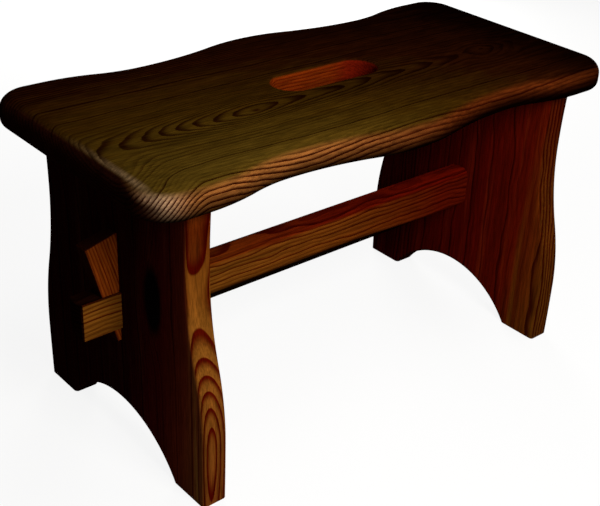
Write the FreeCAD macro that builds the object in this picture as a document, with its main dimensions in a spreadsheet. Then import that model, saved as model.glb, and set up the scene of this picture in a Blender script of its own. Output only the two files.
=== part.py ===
import FreeCAD, Part
import math
import os

import Sketcher

# A small wooden stool: a wavy-edged seat board with a hand slot, two arched leg boards under it,
# and a round-edged rail between the legs. The rail's tenons pass through the legs, and a tapered
# tusk wedge through each tenon draws the joint tight. Blind dowels join the legs to the seat.
# Millimetres. +X runs along the seat, -Y is the front, +Z is up. The origin lies on the floor,
# midway between the legs.

SIZES = {
    # Seat board: its plan has a bulge at mid length, a waist on each side of it and straight ends.
    "seat_length": 400,
    "seat_thick": 20.5,
    "seat_bulge_half": 98.4,
    "seat_bulge_radius": 140,
    "seat_waist_dip": 12.5,
    "seat_waist_radius": 99,
    "seat_waist_run": 65,
    "seat_end_dip": 3.2,
    "seat_shoulder_inset": 37,
    "seat_corner_radius": 24,
    "seat_top_round": 10,
    "seat_under_round": 6,
    # Hand slot through the middle of the seat.
    "slot_length": 86,
    "slot_width": 28,
    "slot_round": 3,
    "slot_under_chamfer": 1.5,
    # Leg boards: widest low down, waisted near the top, with a shallow arch between the feet.
    "leg_height": 206.5,
    "leg_thick": 18,
    "leg_inset": 30,
    "leg_belly_half": 96,
    "leg_belly_height": 45,
    "leg_belly_radius": 195,
    "leg_foot_dip": 0.6,
    "leg_waist_dip": 16,
    "leg_waist_height": 160,
    "leg_top_flare": 1.9,
    "leg_chamfer": 1.8,
    "arch_half": 61.6,
    "arch_rise": 31.8,
    # Rail between the legs, with a smaller tenon at each end, set nearer the rail's top.
    "rail_thick": 17,
    "rail_depth": 31.8,
    "rail_under": 86,
    "rail_round": 6,
    "tenon_thick": 15,
    "tenon_depth": 26,
    "tenon_lift": 5.2,
    "tenon_reach": 28.4,
    "tenon_chamfer": 1,
    # Tusk wedge, and the tapered mortise that it fills in the tenon. The angle is in degrees.
    "wedge_thick": 11,
    "wedge_seat_width": 12.5,
    "wedge_angle": 15,
    "wedge_above": 36.7,
    "wedge_below": 36.5,
    "wedge_chamfer": 0.8,
    "wedge_clearance": 0.1,
    "wedge_setback": 4,
    # Blind dowels, three along the top of each leg.
    "dowel_radius": 4,
    "dowel_in_leg": 22,
    "dowel_in_seat": 13,
    "dowel_spacing": 55,
    "dowel_clearance": 0.05,
    "dowel_end_gap": 1,
    # How far a cut runs past the wood that it removes.
    "overrun": 5,
}

WORKED_OUT = {
    "seat_end": "=seat_length / 2",
    "seat_shoulder": "=seat_end - seat_shoulder_inset",
    "seat_waist": "=seat_shoulder - seat_waist_run",
    "seat_end_half": "=seat_bulge_half - seat_end_dip",
    "seat_waist_half": "=seat_bulge_half - seat_waist_dip",
    "slot_arc_offset": "=slot_length / 2 - slot_width / 2",
    "slot_arc_radius": "=slot_width / 2",
    "leg_outer": "=seat_end - leg_inset",
    "leg_inner": "=leg_outer - leg_thick",
    "left_leg_face": "=-leg_outer",
    "leg_foot_half": "=leg_belly_half - leg_foot_dip",
    "leg_waist_half": "=leg_belly_half - leg_waist_dip",
    "leg_top_half": "=leg_waist_half + leg_top_flare",
    "rail_half": "=rail_thick / 2",
    "rail_over": "=rail_under + rail_depth",
    "rail_between": "=2 * leg_inner",
    "rail_length": "=2 * (leg_outer + tenon_reach)",
    "tenon_half": "=tenon_thick / 2",
    "tenon_under": "=rail_under + tenon_lift",
    "tenon_over": "=tenon_under + tenon_depth",
    "tenon_end": "=leg_outer + tenon_reach",
    "wedge_top_width": "=wedge_seat_width + wedge_above * tan(wedge_angle)",
    "wedge_tip_width": "=wedge_seat_width - wedge_below * tan(wedge_angle)",
    "wedge_top_inner": "=wedge_above + wedge_top_width * tan(wedge_angle)",
    "wedge_tip_inner": "=wedge_below - wedge_tip_width * tan(wedge_angle)",
    "wedge_slot_thick": "=wedge_thick + 2 * wedge_clearance",
    "wedge_slot_inner": "=leg_outer - wedge_setback",
    "wedge_slot_top": "=tenon_over + overrun",
    "wedge_slot_bottom": "=tenon_under - overrun",
    "wedge_place": "=leg_outer + wedge_clearance",
    "wedge_slot_seat": "=wedge_place + wedge_seat_width + wedge_clearance",
    "wedge_slot_top_outer": "=wedge_slot_seat + overrun * tan(wedge_angle)",
    "wedge_slot_bottom_outer": "=wedge_slot_seat - (tenon_depth + overrun) * tan(wedge_angle)",
    "dowel_inset": "=leg_thick / 2",
    "dowel_line": "=leg_outer - dowel_inset",
    "dowel_length": "=dowel_in_leg + dowel_in_seat",
    "dowel_base": "=leg_height - dowel_in_leg",
    "dowel_hole_radius": "=dowel_radius + dowel_clearance",
    "leg_hole_depth": "=dowel_in_leg + dowel_end_gap",
    "seat_hole_depth": "=dowel_in_seat + dowel_end_gap",
}

NEAR_SHARE = 0.001

Z_AXIS = FreeCAD.Vector(0, 0, 1)
START, END, CENTRE = 1, 2, 3
ORIGIN = (-1, 1)
ACROSS, UPRIGHT = -1, -2

doc = FreeCAD.newDocument("Stool")
sheet = doc.addObject("Spreadsheet::Sheet", "Sizes")
for row, (alias, value) in enumerate({**SIZES, **WORKED_OUT}.items(), 1):
    sheet.set(f"A{row}", alias)
    sheet.set(f"B{row}", str(value))
    sheet.setAlias(f"B{row}", alias)
doc.recompute()


def size(alias):
    """The value of a named size of the sheet, as a plain number."""
    return float(getattr(sheet, alias))


def new_body(name):
    """An empty body whose name and label are the sub-part's name."""
    body = doc.addObject("PartDesign::Body", name)
    body.Label = name
    return body


def plane(body, role):
    """One of the body's own origin planes or axes, found by its role."""
    return next(f for f in body.Origin.OriginFeatures if f.Role == role)


def new_sketch(body, name, role, lift=None):
    """An empty sketch on an origin plane of the body, lifted off it by a named size if given."""
    sketch = body.newObject("Sketcher::SketchObject", name)
    sketch.AttachmentSupport = (plane(body, role), "")
    sketch.MapMode = "FlatFace"
    if lift:
        sketch.setExpression(".AttachmentOffset.Base.z", f"Sizes.{lift}")
    return sketch


def line(sketch, start, end):
    """A straight line between two points of the sketch."""
    edge = Part.LineSegment(FreeCAD.Vector(*start, 0), FreeCAD.Vector(*end, 0))
    return sketch.addGeometry(edge, False)


def arc(sketch, centre, start, end):
    """A circular arc about a centre, counter-clockwise from its start to its end."""
    middle = FreeCAD.Vector(*centre, 0)
    first = FreeCAD.Vector(*start, 0) - middle
    last = FreeCAD.Vector(*end, 0) - middle
    turn = math.atan2(first.y, first.x)
    stop = math.atan2(last.y, last.x)
    if stop <= turn:
        stop += math.tau
    circle = Part.Circle(middle, Z_AXIS, first.Length)
    return sketch.addGeometry(Part.ArcOfCircle(circle, turn, stop), False)


def fix(sketch, kind, *where, to):
    """A dimension of the sketch that follows a named size of the sheet."""
    index = sketch.addConstraint(Sketcher.Constraint(kind, *where, size(to)))
    sketch.setExpression(f"Constraints[{index}]", f"Sizes.{to}")


def rule(sketch, kind, *cases):
    """The same geometric rule for each case, such as edges that meet or run smoothly on."""
    for case in cases:
        sketch.addConstraint(Sketcher.Constraint(kind, *case))


def place(sketch, kind, edge, name):
    """Puts the start of an edge at a named distance from the origin, on the side its sign gives."""
    if name == "0":
        axis = UPRIGHT if kind == "DistanceX" else ACROSS
        rule(sketch, "PointOnObject", (edge, START, axis))
    elif name.startswith("-"):
        fix(sketch, kind, edge, START, *ORIGIN, to=name.lstrip("-"))
    else:
        fix(sketch, kind, *ORIGIN, edge, START, to=name)


def coordinate(name):
    """The value that a name stands for as a coordinate: zero, a size or a size with a minus."""
    if name == "0":
        return 0
    return -size(name.lstrip("-")) if name.startswith("-") else size(name)


def polygon(sketch, *corners):
    """A closed outline of straight sides whose corners lie at named distances across and up."""
    points = [[coordinate(name) for name in corner] for corner in corners]
    sides = [line(sketch, points[n - 1], points[n]) for n in range(len(points))]
    for n, corner in enumerate(corners):
        rule(sketch, "Coincident", (sides[n - 1], END, sides[n], START))
        for kind, name in zip(("DistanceX", "DistanceY"), corners[n - 1]):
            place(sketch, kind, sides[n], name)


def rectangle(sketch, left, bottom, right, top):
    """An upright rectangle whose sides lie at named distances from the origin."""
    polygon(sketch, (left, bottom), (right, bottom), (right, top), (left, top))


def pad(body, name, sketch, length, both_ways=False):
    """Solid wood: the sketch's outline carried along its normal for a named length."""
    feature = body.newObject("PartDesign::Pad", name)
    feature.Profile = sketch
    feature.Midplane = both_ways
    feature.setExpression("Length", f"Sizes.{length}")
    doc.recompute()
    return feature


def pocket(body, name, sketch, depth=None, both_ways=False, reverse=False):
    """A cut of the sketch's outline into the wood, of a named depth or right through."""
    before = body.Shape.Volume
    feature = body.newObject("PartDesign::Pocket", name)
    feature.Profile = sketch
    feature.Midplane = both_ways
    feature.Reversed = reverse
    if depth:
        feature.setExpression("Length", f"Sizes.{depth}")
    else:
        feature.Type = "ThroughAll"
    doc.recompute()
    if not body.Shape.Volume < before:
        raise RuntimeError(f"{name} cuts nothing")
    return feature


def mirror(body, name, features, role):
    """The mirror image of some features of the body across one of its origin planes."""
    feature = body.newObject("PartDesign::Mirrored", name)
    feature.Originals = features
    feature.MirrorPlane = (plane(body, role), [""])
    body.Tip = feature
    doc.recompute()
    return feature


def dress(body, kind, name, wanted, amount):
    """A fillet or chamfer of a named size on each edge of the body that passes the test."""
    base = body.Tip
    edges = [f"Edge{n}" for n, edge in enumerate(base.Shape.Edges, 1) if wanted(edge)]
    feature = body.newObject(f"PartDesign::{kind}", name)
    feature.Base = (base, edges)
    feature.setExpression("Radius" if kind == "Fillet" else "Size", f"Sizes.{amount}")
    doc.recompute()
    return feature


def level(edge, axis, value):
    """Whether an edge lies flat at one value of x (0), y (1) or z (2)."""
    box = edge.BoundBox
    low = (box.XMin, box.YMin, box.ZMin)[axis]
    high = (box.XMax, box.YMax, box.ZMax)[axis]
    near = NEAR_SHARE * size("seat_thick")
    return abs(low - value) < near and abs(high - value) < near


def turning_point(start, start_radius, end):
    """Where two opposed arcs meet that leave one point and reach another, both with level ends.

    The radii add up to the squared distance of the points over twice their difference in level,
    and the meeting point divides the way between the points as the two radii divide that sum.
    """
    run = end[0] - start[0]
    drop = end[1] - start[1]
    share = start_radius / ((run * run + drop * drop) / abs(2 * drop))
    return (start[0] + share * run, start[1] + share * drop)


# The seat board is one wide board on its flat, sawn to a wavy plan and rounded over all round.
# A quarter of the plan is drawn: bulge, waist, shoulder, corner. It lies in the body's own frame
# with its underside at zero, and the body's placement lifts it on to the legs.
def seat_quarter(sketch):
    """A quarter of the plan, with arcs that run smoothly from the bulge to the corner."""
    end = size("seat_end")
    bulge = (0, size("seat_bulge_half"))
    waist = (size("seat_waist"), size("seat_waist_half"))
    shoulder = (size("seat_shoulder"), size("seat_end_half"))
    corner = size("seat_corner_radius")
    bulge_radius = size("seat_bulge_radius")
    waist_radius = size("seat_waist_radius")
    swing_in = turning_point(bulge, bulge_radius, waist)
    swing_out = turning_point(waist, waist_radius, shoulder)
    inner_radius = bulge_radius * (waist[0] - swing_in[0]) / swing_in[0]
    outer_radius = waist_radius * (shoulder[0] - swing_out[0]) / (swing_out[0] - waist[0])
    corner_start = (end - corner, shoulder[1])
    corner_end = (end, shoulder[1] - corner)
    crest = arc(sketch, (0, bulge[1] - bulge_radius), swing_in, bulge)
    inner = arc(sketch, (waist[0], waist[1] + inner_radius), swing_in, waist)
    outer = arc(sketch, (waist[0], waist[1] + waist_radius), waist, swing_out)
    brow = arc(sketch, (shoulder[0], shoulder[1] - outer_radius), shoulder, swing_out)
    side = line(sketch, shoulder, corner_start)
    turn = arc(sketch, (corner_start[0], corner_end[1]), corner_end, corner_start)
    head = line(sketch, corner_end, (end, 0))
    base = line(sketch, (end, 0), (0, 0))
    middle = line(sketch, (0, 0), bulge)
    rule(
        sketch,
        "Tangent",
        (crest, START, inner, START),
        (inner, END, outer, START),
        (outer, END, brow, END),
        (brow, START, side, START),
        (side, END, turn, END),
        (turn, START, head, START),
    )
    rule(
        sketch,
        "Coincident",
        (head, END, base, START),
        (base, END, *ORIGIN),
        (middle, START, *ORIGIN),
        (middle, END, crest, END),
    )
    rule(sketch, "PointOnObject", (crest, CENTRE, UPRIGHT))
    rule(sketch, "Horizontal", (base,), (side,))
    rule(sketch, "Vertical", (middle,), (head,))
    fix(sketch, "DistanceY", *ORIGIN, crest, END, to="seat_bulge_half")
    fix(sketch, "Radius", crest, to="seat_bulge_radius")
    fix(sketch, "DistanceX", *ORIGIN, inner, CENTRE, to="seat_waist")
    fix(sketch, "DistanceX", *ORIGIN, outer, CENTRE, to="seat_waist")
    fix(sketch, "DistanceY", *ORIGIN, inner, END, to="seat_waist_half")
    fix(sketch, "Radius", outer, to="seat_waist_radius")
    fix(sketch, "DistanceX", *ORIGIN, brow, CENTRE, to="seat_shoulder")
    fix(sketch, "DistanceY", *ORIGIN, side, START, to="seat_end_half")
    fix(sketch, "Radius", turn, to="seat_corner_radius")
    fix(sketch, "DistanceX", *ORIGIN, head, END, to="seat_end")


def stadium(sketch):
    """The hand slot's outline: two straight sides and two half-round ends."""
    offset = size("slot_arc_offset")
    radius = size("slot_arc_radius")
    right = arc(sketch, (offset, 0), (offset, -radius), (offset, radius))
    top = line(sketch, (offset, radius), (-offset, radius))
    left = arc(sketch, (-offset, 0), (-offset, radius), (-offset, -radius))
    bottom = line(sketch, (-offset, -radius), (offset, -radius))
    rule(
        sketch,
        "Tangent",
        (right, END, top, START),
        (top, END, left, START),
        (left, END, bottom, START),
        (bottom, END, right, START),
    )
    rule(sketch, "PointOnObject", (right, CENTRE, ACROSS), (left, CENTRE, ACROSS))
    rule(sketch, "Horizontal", (top,))
    fix(sketch, "DistanceX", *ORIGIN, right, CENTRE, to="slot_arc_offset")
    fix(sketch, "DistanceX", left, CENTRE, *ORIGIN, to="slot_arc_offset")
    fix(sketch, "Radius", right, to="slot_arc_radius")


def dowel_circles(sketch, across):
    """Three circles for dowel holes, spaced along the leg's width at one place across it."""
    for step in (-1, 0, 1):
        centre = FreeCAD.Vector(size(across), step * size("dowel_spacing"), 0)
        circle = Part.Circle(centre, Z_AXIS, size("dowel_hole_radius"))
        hole = sketch.addGeometry(circle, False)
        fix(sketch, "Radius", hole, to="dowel_hole_radius")
        fix(sketch, "DistanceX", *ORIGIN, hole, CENTRE, to=across)
        if step < 0:
            fix(sketch, "DistanceY", hole, CENTRE, *ORIGIN, to="dowel_spacing")
        elif step > 0:
            fix(sketch, "DistanceY", *ORIGIN, hole, CENTRE, to="dowel_spacing")
        else:
            rule(sketch, "PointOnObject", (hole, CENTRE, ACROSS))


def seat_board():
    """The seat: padded plan, mirrored twice, rounded over, with the slot and dowel holes."""
    body = new_body("seat_board")
    plan = new_sketch(body, "SeatPlan", "XY_Plane")
    seat_quarter(plan)
    quarter = pad(body, "SeatQuarter", plan, "seat_thick")
    whole = body.newObject("PartDesign::MultiTransform", "SeatWhole")
    across = doc.addObject("PartDesign::Mirrored", "SeatLeft")
    across.MirrorPlane = (plane(body, "YZ_Plane"), [""])
    along = doc.addObject("PartDesign::Mirrored", "SeatBack")
    along.MirrorPlane = (plane(body, "XZ_Plane"), [""])
    whole.Originals = [quarter]
    whole.Transformations = [across, along]
    body.Tip = whole
    doc.recompute()
    thick = size("seat_thick")
    dress(body, "Fillet", "SeatTopRound", lambda e: level(e, 2, thick), "seat_top_round")
    dress(body, "Fillet", "SeatUnderRound", lambda e: level(e, 2, 0), "seat_under_round")
    slot = new_sketch(body, "SlotPlan", "XY_Plane")
    stadium(slot)
    pocket(body, "HandSlot", slot, reverse=True)
    reach = size("slot_width")

    def rim(edge, height):
        """Whether an edge is part of the slot's rim at one height."""
        inside = max(abs(edge.BoundBox.YMin), abs(edge.BoundBox.YMax)) < reach
        return inside and level(edge, 2, height)

    dress(body, "Fillet", "SlotRound", lambda e: rim(e, thick), "slot_round")
    dress(body, "Chamfer", "SlotUnderEdge", lambda e: rim(e, 0), "slot_under_chamfer")
    holes = new_sketch(body, "SeatHoleCentres", "XY_Plane")
    dowel_circles(holes, "dowel_line")
    drilled = pocket(body, "SeatHoles", holes, depth="seat_hole_depth", reverse=True)
    mirror(body, "SeatHolesLeft", [drilled], "YZ_Plane")
    body.setExpression("Placement.Base.z", "Sizes.leg_height")
    return body


# Each leg is a board that stands on end, its grain upright. Half of its face is drawn: arch, foot,
# belly, waist and top. Its arrises are chamfered, its foot and top are left square, a mortise
# lets the rail's tenon through, and three blind holes in the top take the dowels.
def leg_half(sketch):
    """Half of a leg's face, from the crown of the arch round the foot and up to the top."""
    top_level = size("leg_height")
    arch_foot = (size("arch_half"), 0)
    arch_crown = (0, size("arch_rise"))
    foot = (size("leg_foot_half"), 0)
    belly = (size("leg_belly_half"), size("leg_belly_height"))
    waist = (size("leg_waist_half"), size("leg_waist_height"))
    top = (size("leg_top_half"), top_level)
    belly_radius = size("leg_belly_radius")

    def radius_between(extreme, other):
        """The radius of an arc that is upright at its extreme point and passes the other one."""
        run = other[1] - extreme[1]
        drop = abs(other[0] - extreme[0])
        return (run * run + drop * drop) / (2 * drop)

    arch_radius = (arch_foot[0] ** 2 + arch_crown[1] ** 2) / (2 * arch_crown[1])
    foot_radius = radius_between(belly, foot)
    neck_radius = radius_between(waist, top)
    swing_z, swing_y = turning_point(belly[::-1], belly_radius, waist[::-1])
    waist_radius = belly_radius * (waist[1] - swing_z) / (swing_z - belly[1])
    arch = arc(sketch, (0, arch_crown[1] - arch_radius), arch_foot, arch_crown)
    sole = line(sketch, arch_foot, foot)
    heel = arc(sketch, (belly[0] - foot_radius, belly[1]), foot, belly)
    calf = arc(sketch, (belly[0] - belly_radius, belly[1]), belly, (swing_y, swing_z))
    hollow = arc(sketch, (waist[0] + waist_radius, waist[1]), waist, (swing_y, swing_z))
    neck = arc(sketch, (waist[0] + neck_radius, waist[1]), top, waist)
    cap = line(sketch, top, (0, top_level))
    middle = line(sketch, (0, top_level), arch_crown)
    rule(
        sketch,
        "Tangent",
        (heel, END, calf, START),
        (calf, END, hollow, END),
        (hollow, START, neck, END),
    )
    rule(
        sketch,
        "Coincident",
        (arch, START, sole, START),
        (sole, END, heel, START),
        (neck, START, cap, START),
        (cap, END, middle, START),
        (middle, END, arch, END),
    )
    rule(
        sketch,
        "PointOnObject",
        (arch, CENTRE, UPRIGHT),
        (arch, END, UPRIGHT),
        (arch, START, ACROSS),
    )
    rule(sketch, "Horizontal", (sole,), (cap,))
    rule(sketch, "Vertical", (middle,))
    fix(sketch, "DistanceX", *ORIGIN, arch, START, to="arch_half")
    fix(sketch, "DistanceY", *ORIGIN, arch, END, to="arch_rise")
    fix(sketch, "DistanceX", *ORIGIN, heel, START, to="leg_foot_half")
    fix(sketch, "DistanceY", *ORIGIN, heel, CENTRE, to="leg_belly_height")
    fix(sketch, "DistanceY", *ORIGIN, calf, CENTRE, to="leg_belly_height")
    fix(sketch, "DistanceX", *ORIGIN, heel, END, to="leg_belly_half")
    fix(sketch, "Radius", calf, to="leg_belly_radius")
    fix(sketch, "DistanceY", *ORIGIN, hollow, CENTRE, to="leg_waist_height")
    fix(sketch, "DistanceY", *ORIGIN, neck, CENTRE, to="leg_waist_height")
    fix(sketch, "DistanceX", *ORIGIN, hollow, START, to="leg_waist_half")
    fix(sketch, "DistanceX", *ORIGIN, neck, START, to="leg_top_half")
    fix(sketch, "DistanceY", *ORIGIN, cap, START, to="leg_height")


def leg_board(name, near_face):
    """One leg, in its own frame from its near face outwards, placed at that face's named x."""
    body = new_body(name)
    face = new_sketch(body, f"{name}_face", "YZ_Plane")
    leg_half(face)
    half = pad(body, f"{name}_half", face, "leg_thick")
    mirror(body, f"{name}_whole", [half], "XZ_Plane")
    top_level = size("leg_height")

    def arris(edge):
        """Whether an edge runs along the board's sides or its arch, not along its top or sole."""
        across = level(edge, 0, 0) or level(edge, 0, size("leg_thick"))
        return across and not level(edge, 2, 0) and not level(edge, 2, top_level)

    dress(body, "Chamfer", f"{name}_arrises", arris, "leg_chamfer")
    mortise = new_sketch(body, f"{name}_mortise_face", "YZ_Plane")
    rectangle(mortise, "-tenon_half", "tenon_under", "tenon_half", "tenon_over")
    pocket(body, f"{name}_mortise", mortise, reverse=True)
    holes = new_sketch(body, f"{name}_hole_centres", "XY_Plane", lift="leg_height")
    dowel_circles(holes, "dowel_inset")
    pocket(body, f"{name}_holes", holes, depth="leg_hole_depth")
    body.setExpression("Placement.Base.x", f"Sizes.{near_face}")
    return body


# The rail is a batten whose four long edges are rounded over. At each end it is cut down all
# round to a square-edged tenon, which leaves shoulders that sit against the leg's inner face, the
# deepest of them under the tenon. The tapered mortise for the tusk wedge goes down through the
# tenon. Its inner wall is set back inside the leg, so the wedge bears on the leg, not on it.
def stretcher_rail():
    """The rail with its tenons and wedge mortises, made at the right end and mirrored."""
    body = new_body("stretcher_rail")
    section = new_sketch(body, "RailSection", "YZ_Plane")
    rectangle(section, "-rail_half", "rail_under", "rail_half", "rail_over")
    pad(body, "RailBar", section, "rail_between", both_ways=True)
    from_middle = size("leg_inner")
    dress(body, "Fillet", "RailRound", lambda e: e.Length > from_middle, "rail_round")
    tenon = new_sketch(body, "TenonSection", "YZ_Plane")
    rectangle(tenon, "-tenon_half", "tenon_under", "tenon_half", "tenon_over")
    pad(body, "Tenons", tenon, "rail_length", both_ways=True)
    taper = new_sketch(body, "WedgeMortiseFace", "XZ_Plane")
    tapered_mortise(taper)
    mortise_cut = pocket(body, "WedgeMortise", taper, depth="wedge_slot_thick", both_ways=True)
    mirror(body, "RailLeftEnd", [mortise_cut], "YZ_Plane")
    end = size("tenon_end")

    def end_arris(edge):
        """Whether an edge bounds one of the two tenon ends."""
        return level(edge, 0, end) or level(edge, 0, -end)

    dress(body, "Chamfer", "TenonEnds", end_arris, "tenon_chamfer")
    return body


def tapered_mortise(sketch):
    """The wedge's mortise seen from the front: upright inside, slanted like the wedge outside."""
    polygon(
        sketch,
        ("wedge_slot_inner", "wedge_slot_bottom"),
        ("wedge_slot_bottom_outer", "wedge_slot_bottom"),
        ("wedge_slot_top_outer", "wedge_slot_top"),
        ("wedge_slot_inner", "wedge_slot_top"),
    )


# Each tusk wedge is cut from a straight-grained stick: its slanted outer side and its two ends are
# the stick's own, and the upright inner side is the one cut. Its frame lies at the leg's outer
# face, level with the tenon's top, with +X pointing outwards. It is held by its taper alone and
# lifts straight up.
def tusk_wedge(name, side):
    """One wedge in its own frame, set against the leg at the side whose sign is given."""
    body = new_body(name)
    face = new_sketch(body, f"{name}_face", "XZ_Plane")
    polygon(
        face,
        ("0", "-wedge_tip_inner"),
        ("wedge_tip_width", "-wedge_below"),
        ("wedge_top_width", "wedge_above"),
        ("0", "wedge_top_inner"),
    )
    pad(body, f"{name}_stick", face, "wedge_thick", both_ways=True)
    above = size("wedge_above") * (1 - NEAR_SHARE)

    def struck(edge):
        """Whether an edge bounds the wedge's upper end, which the mallet strikes."""
        return edge.BoundBox.ZMin > above

    dress(body, "Chamfer", f"{name}_top_end", struck, "wedge_chamfer")
    if side > 0:
        body.setExpression("Placement.Base.x", "Sizes.wedge_place")
    else:
        body.Placement.Rotation = FreeCAD.Rotation(Z_AXIS, 180)
        body.setExpression("Placement.Base.x", "-Sizes.wedge_place")
    body.setExpression("Placement.Base.z", "Sizes.tenon_over")
    return body


# The dowels are plain lengths of hardwood rod. Each is glued into a leg's top and the seat's
# underside, with a little room left at both ends for glue.
def blind_dowel(name, side, step):
    """One dowel at the side and the place along the leg's width whose signs are given."""
    body = new_body(name)
    section = new_sketch(body, f"{name}_section", "XY_Plane")
    circle = section.addGeometry(Part.Circle(FreeCAD.Vector(), Z_AXIS, size("dowel_radius")), False)
    rule(section, "Coincident", (circle, CENTRE, *ORIGIN))
    fix(section, "Radius", circle, to="dowel_radius")
    pad(body, f"{name}_rod", section, "dowel_length")
    body.setExpression("Placement.Base.x", f"{side} * Sizes.dowel_line")
    body.setExpression("Placement.Base.y", f"{step} * Sizes.dowel_spacing")
    body.setExpression("Placement.Base.z", "Sizes.dowel_base")
    return body


subparts = [
    seat_board(),
    leg_board("left_leg_board", "left_leg_face"),
    leg_board("right_leg_board", "leg_inner"),
    stretcher_rail(),
    tusk_wedge("left_wedge", -1),
    tusk_wedge("right_wedge", 1),
]
for side_name, side_sign in (("left", -1), ("right", 1)):
    for step_name, step_sign in (("front", -1), ("middle", 0), ("back", 1)):
        subparts.append(blind_dowel(f"{side_name}_dowel_{step_name}", side_sign, step_sign))

doc.recompute()
for item in doc.Objects:
    if "Invalid" in item.State or "Error" in item.State:
        raise RuntimeError(f"{item.Name} failed: {item.State}")
for subpart in subparts:
    shape = subpart.Shape
    if shape.isNull() or not shape.isValid() or len(shape.Solids) != 1:
        raise RuntimeError(f"{subpart.Label} is not one valid solid")

os.makedirs("parts", exist_ok=True)
for subpart in subparts:
    subpart.Shape.exportStep(f"parts/{subpart.Label}.step")
    print(subpart.Label, round(subpart.Shape.Volume))
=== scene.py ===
"""A small wooden stool: two arched leg boards, a rail wedged through them, and a wavy-edged seat."""

import math

import bmesh
import bpy
import numpy as np
from mathutils import Matrix
from mathutils.geometry import tessellate_polygon


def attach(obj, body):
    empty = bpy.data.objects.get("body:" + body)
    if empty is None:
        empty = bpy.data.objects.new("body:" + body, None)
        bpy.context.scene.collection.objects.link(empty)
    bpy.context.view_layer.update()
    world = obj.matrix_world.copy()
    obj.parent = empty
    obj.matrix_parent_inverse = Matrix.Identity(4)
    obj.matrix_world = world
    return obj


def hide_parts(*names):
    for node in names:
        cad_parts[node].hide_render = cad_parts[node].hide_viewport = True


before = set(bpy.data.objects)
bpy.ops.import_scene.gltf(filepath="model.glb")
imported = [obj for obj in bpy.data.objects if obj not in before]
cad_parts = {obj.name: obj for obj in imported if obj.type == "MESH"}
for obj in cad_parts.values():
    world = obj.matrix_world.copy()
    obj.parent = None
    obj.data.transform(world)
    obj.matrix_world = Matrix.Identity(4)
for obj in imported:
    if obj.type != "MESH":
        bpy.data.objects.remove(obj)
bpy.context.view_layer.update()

# Leg boards: two softwood boards on end, sawn to a waisted outline with an arch between the feet,
# their arrises rounded over, stained dark and oiled. Blind dowels hold them to the seat.
MM = 0.001
LEG_THICK = 18 * MM
LEG_HEIGHT = 206.5 * MM
LEG_INNER_X = 152 * MM
LEG_ROUND = 2.6 * MM
LEG_STEP = 1.5 * MM
BELLY_HALF, BELLY_Z, BELLY_RADIUS = 96 * MM, 45 * MM, 195 * MM
FOOT_DIP, WAIST_DIP, TOP_FLARE = 0.6 * MM, 16 * MM, 1.9 * MM
WAIST_Z = 160 * MM
ARCH_HALF, ARCH_RISE = 61.6 * MM, 31.8 * MM
MORTISE_HALF, MORTISE_LOW, MORTISE_HIGH = 7.5 * MM, 91.2 * MM, 117.2 * MM
ROUND_ROWS = 9
SHARP_ANGLE = math.radians(28)
MERGE_DISTANCE = 0.001 * MM


def bulge(along, crest_at, crest, radius):
    """A circular arc that is level at its crest: crest less radius, plus the rest of the circle."""
    return crest - radius + np.sqrt(np.maximum(radius * radius - (along - crest_at) ** 2, 0))


def dish(along, low_at, low, radius):
    """The same arc turned over: low plus radius, less the rest of the circle."""
    return low + radius - np.sqrt(np.maximum(radius * radius - (along - low_at) ** 2, 0))


def arc_radius(run, drop):
    """Radius of an arc that is level at one end and falls by drop over run: (run² + drop²) / 2 drop."""
    return (run * run + drop * drop) / (2 * drop)


def leg_half_width(z):
    """Half the leg's width at a height: four arcs that run on smoothly, foot, belly, waist, top.

    Two opposed arcs share the radius that one arc would need from crest to dip, and they meet at
    the share of the way that the first one's radius is of that sum.
    """
    run = WAIST_Z - BELLY_Z
    both = arc_radius(run, WAIST_DIP)
    meet = BELLY_Z + run * BELLY_RADIUS / both
    waist = BELLY_HALF - WAIST_DIP
    foot = bulge(z, BELLY_Z, BELLY_HALF, arc_radius(BELLY_Z, FOOT_DIP))
    belly = bulge(z, BELLY_Z, BELLY_HALF, BELLY_RADIUS)
    hollow = dish(z, WAIST_Z, waist, both - BELLY_RADIUS)
    neck = dish(z, WAIST_Z, waist, arc_radius(LEG_HEIGHT - WAIST_Z, TOP_FLARE))
    return np.select([z < BELLY_Z, z < meet, z < WAIST_Z], [foot, belly, hollow], neck)


def normals_along(points):
    """Unit normals of a line of points, a quarter turn clockwise from the way that it runs."""
    way = np.gradient(points, axis=0)
    way /= np.linalg.norm(way, axis=1, keepdims=True)
    return np.stack([way[:, 1], -way[:, 0]], axis=1)


def rounding(radius, rows):
    """A quarter round in rows: its depth below the face and its distance inside the edge."""
    turn = np.linspace(0, math.pi / 2, rows)
    return radius * (1 - np.cos(turn)), radius * (1 - np.sin(turn))


def grid_faces(count, rows, first=0, closed=False):
    """Four-sided faces of a grid of count lines by rows, joined round on itself if closed."""
    line = np.arange(count if closed else count - 1)[:, None]
    row = np.arange(rows - 1)[None, :]
    nearer = line * rows + row
    further = (line + 1) % count * rows + row
    return (first + np.stack([nearer, further, further + 1, nearer + 1], axis=-1)).reshape(-1, 4).tolist()


def fill(loops, places):
    """Triangles that fill a flat outline with its holes; loops are arrays of indices into places."""
    order = np.concatenate(loops)
    return order[tessellate_polygon([places[loop].tolist() for loop in loops])].tolist()


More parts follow.
